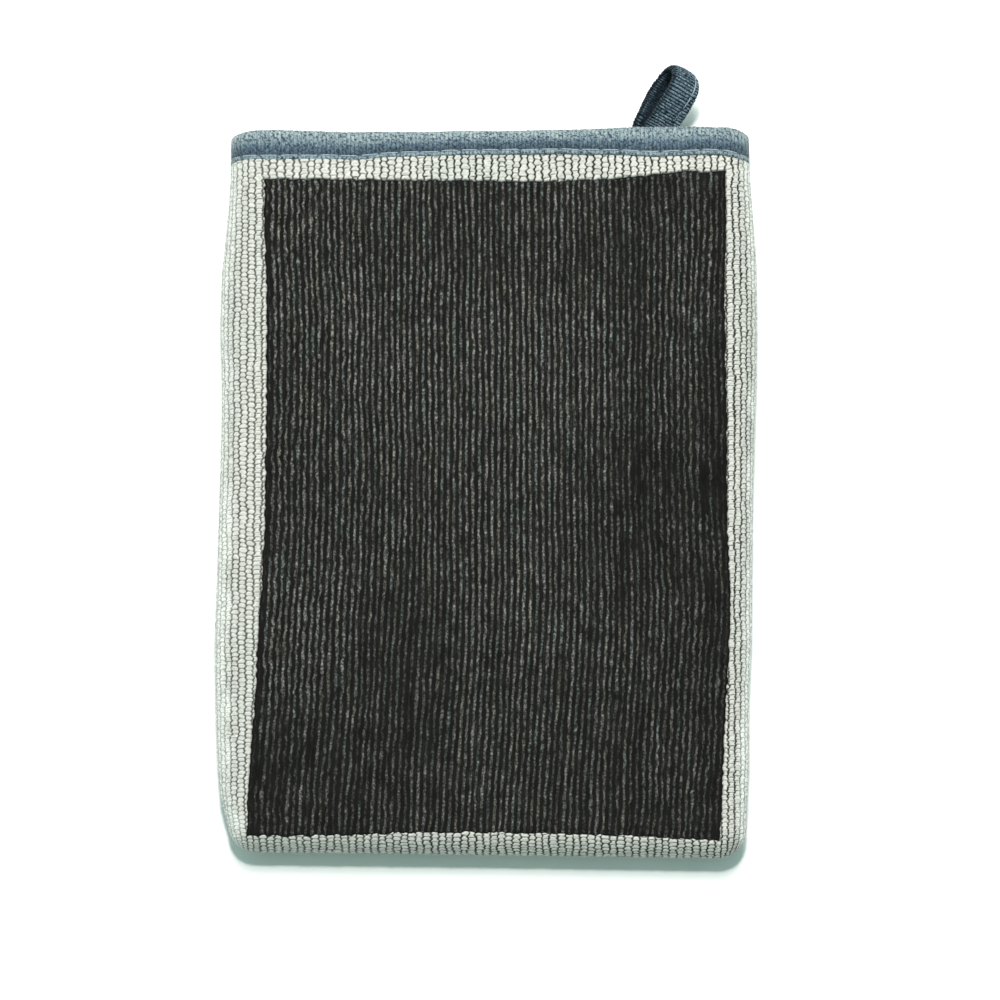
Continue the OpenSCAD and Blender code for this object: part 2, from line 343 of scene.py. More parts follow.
# ---- materials ----
class Shader:
    """A material built up from noise and from the values that a mesh carries."""

    def __init__(self, name):
        self.mat = bpy.data.materials.new(name)
        self.mat.use_nodes = True
        self.nodes, self.links = self.mat.node_tree.nodes, self.mat.node_tree.links
        self.bsdf = next(n for n in self.nodes if n.type == "BSDF_PRINCIPLED")
        self.place = self.nodes.new("ShaderNodeTexCoord").outputs["Object"]

    def link(self, a, b):
        self.links.new(a, b)
        return self

    def put(self, **values):
        for key, value in values.items():
            self.bsdf.inputs[key.replace("_", " ")].default_value = value

    def noise(self, scale, detail=2.0, rough=0.5, stretch=None):
        n = self.nodes.new("ShaderNodeTexNoise")
        n.inputs["Scale"].default_value = scale
        n.inputs["Detail"].default_value = detail
        n.inputs["Roughness"].default_value = rough
        if stretch:
            m = self.nodes.new("ShaderNodeMapping")
            m.inputs["Scale"].default_value = stretch
            self.link(self.place, m.inputs["Vector"])
            self.link(m.outputs["Vector"], n.inputs["Vector"])
        else:
            self.link(self.place, n.inputs["Vector"])
        return n.outputs["Fac"]

    def nearness(self, scale):
        """1 at the object's origin, falling to 0 where its coordinates times the scale reach 1."""
        m, n = self.nodes.new("ShaderNodeMapping"), self.nodes.new("ShaderNodeTexGradient")
        n.gradient_type = "SPHERICAL"
        m.inputs["Scale"].default_value = (scale, scale, scale)
        self.link(self.place, m.inputs["Vector"])
        self.link(m.outputs["Vector"], n.inputs["Vector"])
        return n.outputs["Fac"]

    def layer(self, key):
        n = self.nodes.new("ShaderNodeAttribute")
        n.attribute_name = key
        return n.outputs["Fac"]

    def ramp(self, fac, *stops):
        n = self.nodes.new("ShaderNodeValToRGB")
        ramp = n.color_ramp
        while len(ramp.elements) < len(stops):
            ramp.elements.new(0.5)
        for e, (at, colour) in zip(ramp.elements, stops):
            e.position = at
            e.color = (*colour, 1) if len(colour) == 3 else colour
        self.link(fac, n.inputs["Fac"])
        return n.outputs["Color"]

    def mix(self, fac, a, b, how="MIX"):
        n = self.nodes.new("ShaderNodeMix")
        n.data_type, n.blend_type = "RGBA", how
        for socket, value in ((n.inputs[0], fac), (n.inputs[6], a), (n.inputs[7], b)):
            if isinstance(value, (float, tuple)):
                socket.default_value = value
            else:
                self.link(value, socket)
        return n.outputs[2]

    def span(self, fac, low, high):
        n = self.nodes.new("ShaderNodeMapRange")
        n.inputs["To Min"].default_value = low
        n.inputs["To Max"].default_value = high
        self.link(fac, n.inputs["Value"])
        return n.outputs["Result"]

    def bump(self, height, strength, distance, under=None):
        n = self.nodes.new("ShaderNodeBump")
        n.inputs["Strength"].default_value = strength
        n.inputs["Distance"].default_value = distance
        self.link(height, n.inputs["Height"])
        if under is not None:
            self.link(under, n.inputs["Normal"])
        return n.outputs["Normal"]

    def finish(self, colour, rough, normal):
        self.link(colour, self.bsdf.inputs["Base Color"])
        self.link(rough, self.bsdf.inputs["Roughness"])
        self.link(normal, self.bsdf.inputs["Normal"])
        return self.mat


def knit_material():
    s = Shader("knit_microfibre")
    lobe = s.ramp(s.noise(900, 3, 0.6), (0.3, (0.585, 0.57, 0.533)), (0.7, (0.75, 0.73, 0.683)))
    tint = s.ramp(s.noise(28, 2), (0.35, (0.93, 0.95, 0.95)), (0.65, (1, 1, 1)))
    base = s.mix(1.0, lobe, tint, "MULTIPLY")
    # the dark gap colour is painted shade: it goes where the knit's gaps fall into shade, together with
    # a few dark fuzz specks
    gap = s.ramp(s.noise(500, 2), (0.3, (0.006, 0.007, 0.005)), (0.7, (0.022, 0.025, 0.019)))
    # the pale colour brightens the outline's fuzzy edges: worn fuzz, partly painted sheen and light
    # where the fuzz catches the lamps
    base = s.mix(s.layer("wear_and_painted_sheen"), base, (0.96, 0.95, 0.91, 1))
    strand = s.ramp(s.noise(1, 3, 0.6, (420, 1900, 900)), (0.38, (0.80, 0.81, 0.80)), (0.56, (1, 1, 1)))
    base = s.mix(1.0, base, strand, "MULTIPLY")
    colour = s.mix(s.layer("crevice_shade_and_specks"), base, gap)
    fibre = s.bump(s.noise(2600, 3, 0.7), 0.45, 0.0003, s.bump(s.noise(900, 2), 0.3, 0.0004))
    s.put(Sheen_Weight=0.08, Sheen_Roughness=0.5, Specular_IOR_Level=0.1)
    return s.finish(colour, s.span(s.noise(700, 2), 0.8, 0.98), fibre)


def clay_material():
    s = Shader("clay_polymer")
    dark = s.ramp(
        s.noise(160, 4, 0.65), (0.3, (0.0042, 0.0041, 0.0039)), (0.7, (0.0098, 0.0093, 0.0088))
    )
    # the crests' grey is a painted highlight with a little wear: it stands in for the lamp's reflection
    # along the ribs, in flecks
    flecks = s.noise(1500, 3, 0.62)
    wear_and_painted_sheen = s.ramp(
        flecks,
        (0.36, (0.023, 0.023, 0.022)), (0.5, (0.075, 0.074, 0.072)), (0.64, (0.255, 0.252, 0.245)),
    )
    # the painted crest highlight's tints run from greenish over violet to yellowish grey
    tint = s.noise(1, 2, 0.5, (480, 55, 55))
    tint = s.ramp(tint, (0.38, (0.86, 1, 0.94)), (0.5, (1, 0.95, 0.97)), (0.62, (1, 0.96, 0.84)))
    wear_and_painted_sheen = s.mix(1.0, wear_and_painted_sheen, tint, "MULTIPLY")
    colour = s.mix(s.layer("painted_crest_highlight"), dark, wear_and_painted_sheen)
    skin = s.bump(s.noise(1500, 3, 0.6), 0.25, 0.0002, s.bump(s.noise(420, 2), 0.3, 0.0003))
    s.put(Specular_IOR_Level=0.1)
    smooth, dull = s.span(s.noise(45, 3, 0.6), 0.34, 0.52), s.span(s.noise(60, 3, 0.6), 0.78, 0.95)
    return s.finish(colour, s.mix(s.layer("painted_crest_highlight"), dull, smooth), skin)


def tape_material(name, sheen, pale, light, mid, dark):
    s = Shader(name)
    yarn = s.ramp(s.noise(1500, 3, 0.7), (0.3, mid), (0.7, light))
    yarn = s.mix(s.layer("pale"), yarn, s.ramp(s.noise(1300, 3, 0.7), (0.3, light), (0.7, pale)))
    # where the mesh marks it, the colour goes dark: mostly painted shade, with dark specks
    colour = s.mix(s.layer("crevice_shade_and_specks"), yarn, s.ramp(s.noise(900, 2), (0.3, dark), (0.8, mid)))
    fibre = s.bump(s.noise(3200, 3, 0.7), 0.5, 0.0003, s.bump(s.noise(1400, 2, 0.6), 0.5, 0.0004))
    s.put(Sheen_Weight=sheen, Sheen_Roughness=0.5, Specular_IOR_Level=0.6 * sheen)
    return s.finish(colour, s.span(s.noise(800, 2), 0.78, 0.96), fibre)


def cloth_material(name, low, high, scale, bump=0.3):
    s = Shader(name)
    colour = s.ramp(s.noise(scale, 4, 0.65), (0.3, low), (0.7, high))
    fibre = s.bump(s.noise(scale * 3, 3, 0.65), bump, 0.0003, s.bump(s.noise(scale, 2), bump, 0.0004))
    s.put(Sheen_Weight=0.15, Specular_IOR_Level=0.2)
    return s.finish(colour, s.span(s.noise(scale * 0.7, 2), 0.7, 0.95), fibre)


KNIT = knit_material()
CLAY = clay_material()
TAPE = tape_material(
    "cuff_tape", 0.25,
    (0.46, 0.52, 0.48), (0.150, 0.226, 0.284), (0.056, 0.092, 0.138), (0.010, 0.016, 0.024),
)
# the loop's tape colours are darkened overall, partly as painted shade since most of the loop lies in
# shade
LOOP_TAPE = tape_material(
    "loop_tape", 0.05,
    (0.34, 0.44, 0.50), (0.058, 0.104, 0.145), (0.013, 0.027, 0.040), (0.001, 0.0018, 0.0025),
)
THREAD = cloth_material("thread_pale", (0.24, 0.30, 0.35), (0.42, 0.49, 0.53), 1800, 0.2)
WHITE_THREAD = cloth_material("thread_white", (0.55, 0.56, 0.54), (0.75, 0.76, 0.73), 1800, 0.2)
LINING = cloth_material("lining_cloth", (0.55, 0.57, 0.57), (0.72, 0.74, 0.74), 900)
FOAM = cloth_material("foam", (0.62, 0.60, 0.50), (0.80, 0.78, 0.68), 700, 0.6)


# ---- the knit ----
def knit(u, v, seed, wear_and_painted_sheen):
    """Height from 0 in the gaps to about 1 on the lobes, and how deep in a gap each point is; the
    latter paints the gaps dark as painted shade.
    """
    tall = np.clip(v - RIM_Y + 10, 0, None)
    u, v = u + 300, v + 300
    a = u / KNIT_COLUMN + 0.13 * noise(u, v, seed, 4.2, 5.2) + 0.06 * noise(u, v, seed + 1, 1.5)
    b = v / KNIT_ROW - 0.14 * tall + 0.30 * noise(u, v, seed + 2, 6, 4)
    b = b + 0.12 * noise(u, v, seed + 3, 2.1)
    k = np.round(a)
    odd = k % 2
    zig = np.abs((b + 0.25) % 1 - 0.5) * 4 - 1
    edge = k + np.where(odd > 0, 1, -1) * 0.10 * zig + 0.15 * noise(k * 9.7, v, seed + 5, 1.3, 1.2)
    column = np.where(a > edge, k, k - 1)
    c = a - column - 0.5
    shift = tables(seed + 8)[column.astype(int) % 256, 7]
    p = b - 0.5 * (column % 2) + 0.20 * shift + 0.2 * c * c + 0.10 * c * shift
    row = np.round(p)
    lobe = tables(seed + 9)[column.astype(int) % 256, row.astype(int) % 256]
    d_col = np.abs(a - edge) * KNIT_COLUMN
    d_row = (0.5 - np.abs(p - row)) * 1.5
    q = np.clip(np.minimum(d_col / 0.46, (d_row + 0.10) / 0.42), 0, 1)
    height = (1 - (1 - q) ** 2.2) * (0.88 + 0.14 * lobe)
    broken = noise(u, v, seed + 6, 1.0, 0.8)
    # the gap value paints the gaps between columns, the rows' lines and the corners where they meet
    # dark: painted shade
    gap = (1 - step(0.19, 0.43, d_col)) * np.clip(1 + 0.35 * broken, 0, 1)
    row_line = np.clip(0.78 - 0.3 * step(0, 4, tall) + 0.25 * lobe + 0.5 * broken, 0, 1)
    gap = np.maximum(gap, row_line * (1 - step(0.05, 0.24, d_row)))
    gap = np.clip(gap + 0.9 * (1 - step(0.12, 0.46, np.hypot(d_col, d_row))), 0, 1)
    # the lobes' middles get a little of the dark gap colour too
    heart = 0.13 * step(0.45, 0.9, np.minimum(d_col / 0.9, d_row / 0.62))
    gap = np.maximum(gap, heart)
    tuft = noise(u, v, seed + 4, 0.62)
    fuzz = noise(u, v, seed + 7, 0.75, 0.6)
    height = height * (1 - wear_and_painted_sheen) + (0.72 + 0.35 * fuzz) * wear_and_painted_sheen + 0.07 * tuft
    # in the fuzzy edge zone the gaps are painted less dark, with a few dark fuzz specks
    gap = gap * (1 - 0.5 * wear_and_painted_sheen) + 0.3 * wear_and_painted_sheen * step(0.3, 0.8, -fuzz)
    return height, gap


def knit_panel(name, side, seed, node):
    """One knit panel, from the seam at its edge over its face, with the lobes as geometry."""
    k, pitch = 8, 0.235
    end = RIM_Y + KNIT_TUCK
    nu = k * round((BACK_HIGH[0] - BACK_LOW[0] + 10) / pitch / k) + 1
    nv = k * round((end - TIP_Y + 5) / pitch / k) + 1
    core, out, u, v = bag(nu, nv, end, side)
    base = core + ROUND * out
    inward = np.minimum(base[..., 0] - left_edge(v), right_edge(v) - base[..., 0])
    inward = inward + 1.3 * noise(u + 300, v + 300, seed + 12, 5, 8) - 1.2 * step(40, -60, v)
    # painted light: on the left the pale edge zone reaches further in and the gaps are painted less
    # dark, which brightens the left side
    leftward = step(0, -70, base[..., 0])
    wear_and_painted_sheen = 0.75 * (1 - step(0.4, 3.0 + 2.4 * leftward, inward))
    height, gap = knit(u, v, seed, wear_and_painted_sheen)
    gap = gap * (1 - 0.12 * leftward)
    depth = 0.62 - 0.6 * height
    under = np.zeros_like(depth)
    if side > 0:
        under = step(-0.25, 0.35, clay_depth_in(base[..., 0], base[..., 1]))
    round_cuff = u - CORE_L if side > 0 else STRAIGHT + BEND + CORE_R - u
    tucked = step(0.1, 0.8, base[..., 1] - RIM_Y - edge_wave(round_cuff))
    crease = 0.7 * (1 - step(0, 0.09, np.abs(out[..., 2])))
    depth = depth * (1 - under) + 1.9 * under
    depth = depth * (1 - tucked) + 1.5 * tucked + crease
    outer = core + (ROUND - depth)[..., None] * out
    if side > 0:
        outer[..., 2] += swell(outer[..., 0], outer[..., 1]) * out[..., 2] ** 2
    coarse, lean, _, _ = bag((nu - 1) // k + 1, (nv - 1) // k + 1, end, side)
    inner = coarse + (ROUND - KNIT_T + 0.1) * lean
    ob = shell(name, outer, inner, k, side < 0, {"crevice_shade_and_specks": gap * (1 - under), "wear_and_painted_sheen": wear_and_painted_sheen})
    dress(ob, "mitt", "knit", KNIT, node)


def ribs(x, y):
    """The working face's ribs: height from 0 in the grooves to about 1 on the crests, and the painted
    highlight along the crests.
    """
    # painted shading: the painted crest highlight is stronger on the left and weaker on the right and
    # towards the tip, as the lamp's reflection falls
    painted_shading = 1.07 - 0.50 * step(18, 52, x) * step(-60, 30, y) - 0.18 * step(30, 60, x)
    painted_shading = painted_shading + 0.12 * step(-10, -60, x) - 0.15 * step(70, 20, y) - 0.40 * step(0, -80, y)
    x, y = x + 300, y + 300
    pitch = (CLAY_HIGH[0] - CLAY_LOW[0]) / RIB_COUNT
    wander = 0.22 * noise(x, y, 41, 3.1, 8) + 0.17 * noise(x, y, 42, 2.2, 2.6)
    wander = wander + 0.09 * noise(x, y, 43, 1.3, 1.0)
    r = (x + wander + 0.5 * noise(x, y, 40, 16, 22)) / pitch
    rib = np.round(r)
    r = np.abs(r - rib) * 2
    flank = np.exp(-((r / 0.50) ** 3))
    own = tables(48)[rib.astype(int) % 256, 3]
    bead = 0.80 + 0.13 * noise(x, y, 44, 2.1, 3.4) + 0.12 * noise(x, y, 45, 1.7, 0.9)
    # patch varies the painted highlight's strength at random, per rib and from place to place
    patch = painted_shading + 0.36 * noise(x, y, 46, 30, 42) + 0.2 * own + 0.3 * noise(rib * 7.3, y, 49, 1.9, 6)
    patch = np.clip(patch, 0, 1.15)
    height = flank * bead
    # grain breaks the painted highlight into beads, and faint adds dim painted highlight lines near the
    # grooves
    grain = np.clip(0.72 + 0.6 * noise(x, y, 50, 0.9, 1.4), 0.1, 1.2)
    faint = 0.10 * step(0.1, 0.7, noise(x, y, 51, 0.9, 5)) * step(0.45, 0.9, r)
    painted_crest_highlight = (step(0.14, 0.66, height) + faint) * patch * grain
    return height + 0.06 * noise(x, y, 47, 0.6), np.clip(painted_crest_highlight, 0, 1)


def clay_piece():
    """The working face: one ribbed sheet that follows the mitt's rounded edges."""
    nu, nv, k = ((897, 321, 8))
    p, q = np.meshgrid(np.linspace(0, 1, nu), np.linspace(0, 1, nv), indexing="ij")
    y = CLAY_LOW[1] + q * (CLAY_HIGH[1] - CLAY_LOW[1])
    x = CLAY_LOW[0] + p * (CLAY_HIGH[0] - CLAY_LOW[0])
    for _ in range(2):
        left, right, top, low, ragged = clay_edges(x, y)
        x = left - ragged + p * (right + ragged - left + ragged)
        y = low - ragged + q * (top + ragged - low + ragged)
    flat_x = (p - 0.5) * (CLAY_HIGH[0] - CLAY_LOW[0])
    height, painted_crest_highlight = ribs(flat_x, y)
    inside = np.minimum(np.minimum(p, 1 - p) * FACE_W, np.minimum(q, 1 - q) * FACE_L)
    edge = step(0, 0.3, inside)
    margin = step(0.5, 1.8, np.minimum(p, 1 - p) * FACE_W)
    z = CLAY_HIGH[2] + 0.05 - 0.62 * (1 - height * edge) - 0.35 * (1 - edge)
    # near the tip the face follows the edge's rounding
    fall = np.clip((TIP_Y + ROUND - y) / ROUND, 0, 1)
    z -= ROUND * (1 - np.sqrt(1 - fall**2))
    side = np.maximum(left_edge(y) + ROUND - x, x - right_edge(y) + ROUND)
    z -= ROUND * (1 - np.sqrt(1 - np.clip(side / ROUND, 0, 1) ** 2))
    z += swell(x, y)
    outer = np.stack([x, y, z], -1)
    inner = outer[::k, ::k].copy()
    inner[..., 2] = TOP_Z + swell(inner[..., 0], inner[..., 1]) - FACE_BACK
    inner[..., 2] -= ROUND * (1 - np.sqrt(1 - fall[::k, ::k] ** 2))
    inner[..., 2] -= ROUND * (1 - np.sqrt(1 - np.clip(side[::k, ::k] / ROUND, 0, 1) ** 2))
    ob = shell("clay_ribs", outer, inner, k, False, {"painted_crest_highlight": painted_crest_highlight * edge * margin})
    dress(ob, "mitt", "polymer", CLAY, "clay_face")


def lining(name, side, node):
    """One half of the lining bag, a little slack; the front half lies under the foam."""
    k, nu, nv = 2, 141, 201
    end = CUFF_Y - LINING_SHORT
    core, out, u, v = bag(nu, nv, end, side)
    slack = 0.22 * noise(u + 300, v + 300, 61, 9, 16) + 0.12 * noise(u + 300, v + 300, 62, 4)

    def wall(c, o, depth):
        w = c + (ROUND - KNIT_T - depth)[..., None] * o
        if side > 0:
            low = FOAM_LOW[2] + 3.0 * step(FOAM_HIGH[1] - 8, FOAM_HIGH[1] + 0.6, w[..., 1])
            w[..., 2] = np.minimum(w[..., 2], low - depth * 0.6)
        return w

    hidden = wall(core, out, np.full(u.shape, 0.08))
    seen = wall(core, out, 0.62 + slack * step(end, end - 12, v))
    ob = shell(name, seen, hidden[::k, ::k], k, side > 0)
    dress(ob, "mitt", "lining", LINING, node)


def foam_sheet():
    """The foam behind the working face, cut to the mitt's outline and rounded under the knit."""
    k, nu, nv = 4, 129, 177
    wall = ROUND - KNIT_T - 0.05
    reach = math.sqrt(wall**2 - (FOAM_LOW[2] + 0.3 - MID_Z) ** 2)
    start, end = TIP_Y + ROUND, FOAM_HIGH[1]
    v = np.linspace(start - reach, end, nv)[None, :]
    core_y = np.maximum(v, start)
    left, right = left_edge(core_y) + ROUND, right_edge(core_y) - ROUND
    u = left - reach + np.linspace(0, 1, nu)[:, None] * (right - left + 2 * reach)
    core_x = np.clip(u, left, right)
    a, b = (u - core_x) / reach, (v - core_y) / reach
    x = core_x + reach * a * np.sqrt(1 - b**2 / 2)
    y = core_y + reach * b * np.sqrt(1 - a**2 / 2)
    away = np.hypot(x - core_x, y - core_y)
    y = y + (tip_edge(core_x) - TIP_Y) * step(-60, -106, core_y)
    upper = np.stack([x, y, MID_Z + np.sqrt(wall**2 - away**2)], -1)
    lower = upper[::k, ::k].copy()
    rise = step(end - 8, end + 0.6, lower[..., 1])
    lower[..., 2] = FOAM_LOW[2] + 0.02 + (FOAM_HIGH[2] - FOAM_LOW[2] - 0.4) * rise
    ob = shell("foam_sheet", upper, lower, k, False)
    dress(ob, "mitt", "foam", FOAM, "front_foam")


def zigzag(along, out, depth, reach, pitch=1.3):
    """A thread that crosses the seam from one panel to the other and back along a line of points."""
    s = np.concatenate([[0], np.cumsum(np.linalg.norm(np.diff(along, axis=0), axis=1))])
    turns = int(s[-1] / pitch)
    at = np.linspace(0, s[-1], turns * 6 + 1)
    mid = np.stack([np.interp(at, s, along[:, j]) for j in range(3)], -1)
    way = np.stack([np.interp(at, s, out[:, j]) for j in range(3)], -1)
    swing = np.sin(math.pi * at / pitch)
    sunk = mid - way * (depth + 0.35 * swing[:, None] ** 2)
    return sunk + np.array([0, 0, 1.0]) * reach * swing[:, None]


def seams():
    """The threads that join the two knit panels, along the sides and round the tip."""
    ys = np.linspace(TIP_Y + ROUND + 1, RIM_Y + 1, 300)
    flat = np.zeros_like(ys)
    for name, edge, way in (("side_seam_left", left_edge, -1.0), ("side_seam_right", right_edge, 1.0)):
        line = np.stack([edge(ys), ys, flat + MID_Z], -1)
        path = zigzag(line, np.stack([flat + way, flat, flat], -1), 0.55, 0.75)
        dress(tubes(name + "_thread", [path], SEAM_R), "mitt", "thread_pale", WHITE_THREAD, name)
    left, right = left_edge(TIP_Y + ROUND) + ROUND, right_edge(TIP_Y + ROUND) - ROUND
    xs = np.linspace(left, right, 260)
    turn = np.linspace(0, math.pi / 2, 16)[:-1]
    reach_l, reach_r = tip_edge(left) - TIP_Y, tip_edge(right) - TIP_Y
    first = np.stack([left - ROUND * np.cos(turn), TIP_Y + ROUND + reach_l - ROUND * np.sin(turn)], -1)
    turn = turn + 0.1
    last = np.stack([right + ROUND * np.sin(turn), TIP_Y + ROUND + reach_r - ROUND * np.cos(turn)], -1)
    line = np.vstack([first, np.stack([xs, tip_edge(xs)], -1), last])
    way = np.gradient(line, axis=0)
    way = np.stack([way[:, 1], -way[:, 0]], -1) / np.linalg.norm(way, axis=1)[:, None]
    level = np.zeros((len(line), 1))
    path = zigzag(np.hstack([line, level + MID_Z]), np.hstack([way, level]), 0.55, 0.75)
    dress(tubes("tip_seam_thread", [path], SEAM_R), "mitt", "thread_pale", WHITE_THREAD, "tip_seam")


# ---- the cuff ----
CORE_L, CORE_R = float(left_edge(CUFF_Y)) + ROUND, float(right_edge(CUFF_Y)) - ROUND
STRAIGHT, BEND = CORE_R - CORE_L, math.pi * ROUND
ROUND_TRIP = 2 * (STRAIGHT + BEND)


def ring(s):
    """Core place and outward direction at a distance round the cuff, from the front's left end."""
    s = np.mod(s, ROUND_TRIP)
    front, back = s < STRAIGHT, (s >= STRAIGHT + BEND) & (s < 2 * STRAIGHT + BEND)
    a = np.where(
        s < STRAIGHT + BEND, (s - STRAIGHT) / ROUND, (s - 2 * STRAIGHT - BEND) / ROUND + math.pi
    )
    a = np.where(front, 0, np.where(back, math.pi, a))
    x = np.where(front, CORE_L + s, np.where(back, CORE_R - (s - STRAIGHT - BEND), 0))
    x = np.where(~front & ~back, np.where(s < STRAIGHT + BEND, CORE_R, CORE_L), x)
    return x, np.sin(a), np.cos(a)


def on_cuff(s, places, values):
    """A wave across the cuff, given by listed places and values, the same on its front and its back."""
    s = np.abs(np.mod(s + BEND / 2 + ROUND_TRIP / 2, ROUND_TRIP) - ROUND_TRIP / 2) - BEND / 2
    return np.interp(s + CORE_L, places, values)


def rim_wave(s):
    """How far the rim stands above or below its even height."""
    wave = on_cuff(
        s, [-86, -79, -74, -69, -57, -43, -10, 5, 20, 36, 45, 76, 81, 88],
        [-2.0, -1.4, -1.1, -0.8, -1.3, -1.6, -1.3, -1.4, -0.9, -0.4, 0, 0.1, -0.3, -1.5],
    )
    return wave + 0.15 * noise(s, s * 0, 71, 9)


def edge_wave(s):
    """The same for the binding's lower edge."""
    wave = on_cuff(
        s, [-80, -40, -29, -8, 17, 36, 52, 66, 74, 81],
        [-1.7, -1.9, -1.0, -0.2, 0.2, 0.1, -0.6, 0, -0.1, -1.2],
    )
    return wave + 0.12 * noise(s, s * 0, 73, 5)


# the folded tape in section: height above its lower edge, and distance out from the knit's surface
PROFILE = np.array([
    [0.0, -1.0], [-0.1, -0.35], [0.1, 0.15], [0.5, 0.38], [1.0, 0.22], [1.5, -0.38], [2.1, 0.05],
    [3.3, 0.6], [5.0, 0.88], [6.2, 0.85], [7.4, 0.5], [8.3, -0.25], [8.9, -1.3], [9.1, -2.5],
    [8.9, -3.7], [8.2, -4.7], [7.0, -5.4], [5.4, -5.65], [3.6, -5.45], [2.2, -4.85], [1.3, -5.3],
    [0.4, -5.15], [0.0, -4.7], [0.5, -4.25], [3.0, -4.0], [6.0, -4.0], [7.6, -3.5], [8.0, -2.5],
    [7.7, -1.6], [6.2, -1.05], [3.4, -1.05], [1.0, -1.05],
])


def closed_curve(points, count):
    """A smooth closed curve through the points, at even distances."""
    n = len(points)
    t = np.linspace(0, n, n * 16, endpoint=False)
    i = np.floor(t).astype(int)
    f = (t - i)[:, None]
    a, b, c, d = (points[(i + k) % n] for k in (-1, 0, 1, 2))
    fine = 2 * b + (c - a) * f + (2 * a - 5 * b + 4 * c - d) * f**2 + (3 * b - a - 3 * c + d) * f**3
    fine = fine * 0.5
    fine = np.vstack([fine, fine[:1]])
    s = np.concatenate([[0], np.cumsum(np.linalg.norm(np.diff(fine, axis=0), axis=1))])
    at = np.linspace(0, s[-1], count, endpoint=False)
    return np.stack([np.interp(at, s, fine[:, j]) for j in range(points.shape[1])], -1)


def profile_at(s, y, off):
    """Places in the mitt of points of the section at a distance s round the cuff."""
    x, nx, nz = ring(s)
    stretch = np.clip((y - 1.5) / 7.6, 0, 1)
    yy = RIM_Y + y + edge_wave(s) * (1 - stretch) + rim_wave(s) * stretch
    r = ROUND + np.where(off > 0, off * step(-0.05, 0.75, nz), off)
    return np.stack([x + r * nx, yy + 0 * x, MID_Z + r * nz + 0 * yy], -1)


def binding():
    """The tape folded over the cuff's edge, with its cords and its fuzz."""
    ribs_round = round(ROUND_TRIP / CORD)
    nu, nv = ribs_round * 9, 110
    prof = closed_curve(PROFILE, nv)
    s = np.linspace(0, ROUND_TRIP, nu, endpoint=False)[:, None]
    y, off = prof[None, :, 0], prof[None, :, 1]
    t = np.roll(prof, -1, 0) - np.roll(prof, 1, 0)
    ny, no = -t[:, 1], t[:, 0]
    length = np.hypot(ny, no)
    ny, no = (ny / length)[None], (no / length)[None]
    w = np.arange(nv)[None] * 0.45
    phase = s / ROUND_TRIP * ribs_round + 0.10 * noise(s + 0 * w, w + 0 * s, 74, 2.6, 3)
    r = np.abs(phase - np.round(phase)) * 2
    cord = np.sqrt(np.clip(1 - r * r, 0, 1))
    seen = 1 - (off > -4.45) * (off < -1.02) * (y < 8.3)
    tuft = noise(s + 0 * w, w + 0 * s, 75, 0.55, 0.5)
    push = seen * (0.20 * (cord - 0.7) + 0.16 * tuft)
    push = push * (0.6 + 0.4 * step(2.0, 5, y + 0 * s))
    pts = profile_at(s + 0 * y, y + push * ny, off + push * no)
    # where the tape's two ends meet, on the back
    x, _, nz = ring(s)
    beside = np.abs(x - JOIN_X + 0.2 * noise(w, w, 77, 1.5))
    join = (nz < -0.99) * (1 - step(0.15, 0.45, beside)) * (off > -5)
    pts[..., 2] += 0.55 * join * seen
    # painted shade: the gaps between the cords, and a band that darkens towards the topstitch line; the
    # dark specks and the dark line where the tape's ends meet are the tape's own
    gap = seen * step(0.55, 1.0, r + 0 * w) * 0.6
    painted_shading = seen * step(5.6, 1.9, y + 0 * s) * step(1.1, 1.6, y + 0 * s)
    speck = noise(s + 0 * w, w + 0 * s, 76, 0.40, 0.36)
    hair = noise(s + 0.5 * w, w + 0 * s, 78, 0.3, 0.8)
    gap = gap * (0.7 + 0.6 * speck) + 0.45 * painted_shading + 1.0 * step(0.05, 0.6, -speck) * seen + join
    gap = np.clip(gap, 0, 1)
    # the rim is paler, partly painted light and sheen where the fold's top faces the lamps and partly
    # fuzz; the lip below the stitches is paler too, and specks and hairs add pale fuzz
    pale = step(3.2, 7.6, y + 0 * s) * (0.85 + 0.25 * noise(s + 0 * w, w + 0 * s, 79, 6, 4))
    pale = pale + 0.5 * step(1.5, 0.9, y + 0 * s) + 0.5 * speck + 0.35 * step(0.3, 0.8, hair)
    pale = np.clip(pale, 0, 1)
    ob = build(
        "binding_tape", pts.reshape(-1, 3), [grid_faces(nu, nv, 0, True, wrap_u=True, wrap_v=True)],
        {"crevice_shade_and_specks": gap, "pale": pale * seen},
    )
    dress(ob, "mitt", "tape", TAPE, "cuff_binding")


def join_stitches():
    """Two stitches across the place where the tape's ends meet."""
    paths = []
    for i in range(2):
        t = np.linspace(-1, 1, 13)
        y = RIM_Y + 2.6 + 3.6 * i + 1.5 * t
        paths.append(np.stack([JOIN_X + 0.9 + 0.06 * t, y, 0.24 + 0.45 * np.abs(t) ** 4], -1))
    dress(tubes("join_thread", paths, SEAM_R), "mitt", "thread_blue", THREAD, "binding_join_stitch")


def ring_stitches(name, off, slot, node):
    """A row of stitches round the binding, on the tape's outer or inner side."""
    count = round(ROUND_TRIP / STITCH)
    rng = np.random.default_rng(8)
    paths = []
    for i in range(count):
        a, b = (i + 0.02) * ROUND_TRIP / count, (i + 0.98) * ROUND_TRIP / count
        a, b = a + rng.uniform(0, 0.1), b - rng.uniform(0, 0.25)
        s = np.linspace(a, b, 15)
        t = np.linspace(-1, 1, 15)
        dip = -np.sign(off + 2) * 0.55 * np.abs(t) ** 4
        y = 1.5 + 0.10 * rng.uniform(-1, 1) + 0.10 * t * rng.uniform(-1, 1)
        paths.append(profile_at(s, y + 0 * s, off + dip))
    dress(tubes(name, paths, THREAD_R), "mitt", slot, THREAD, node)


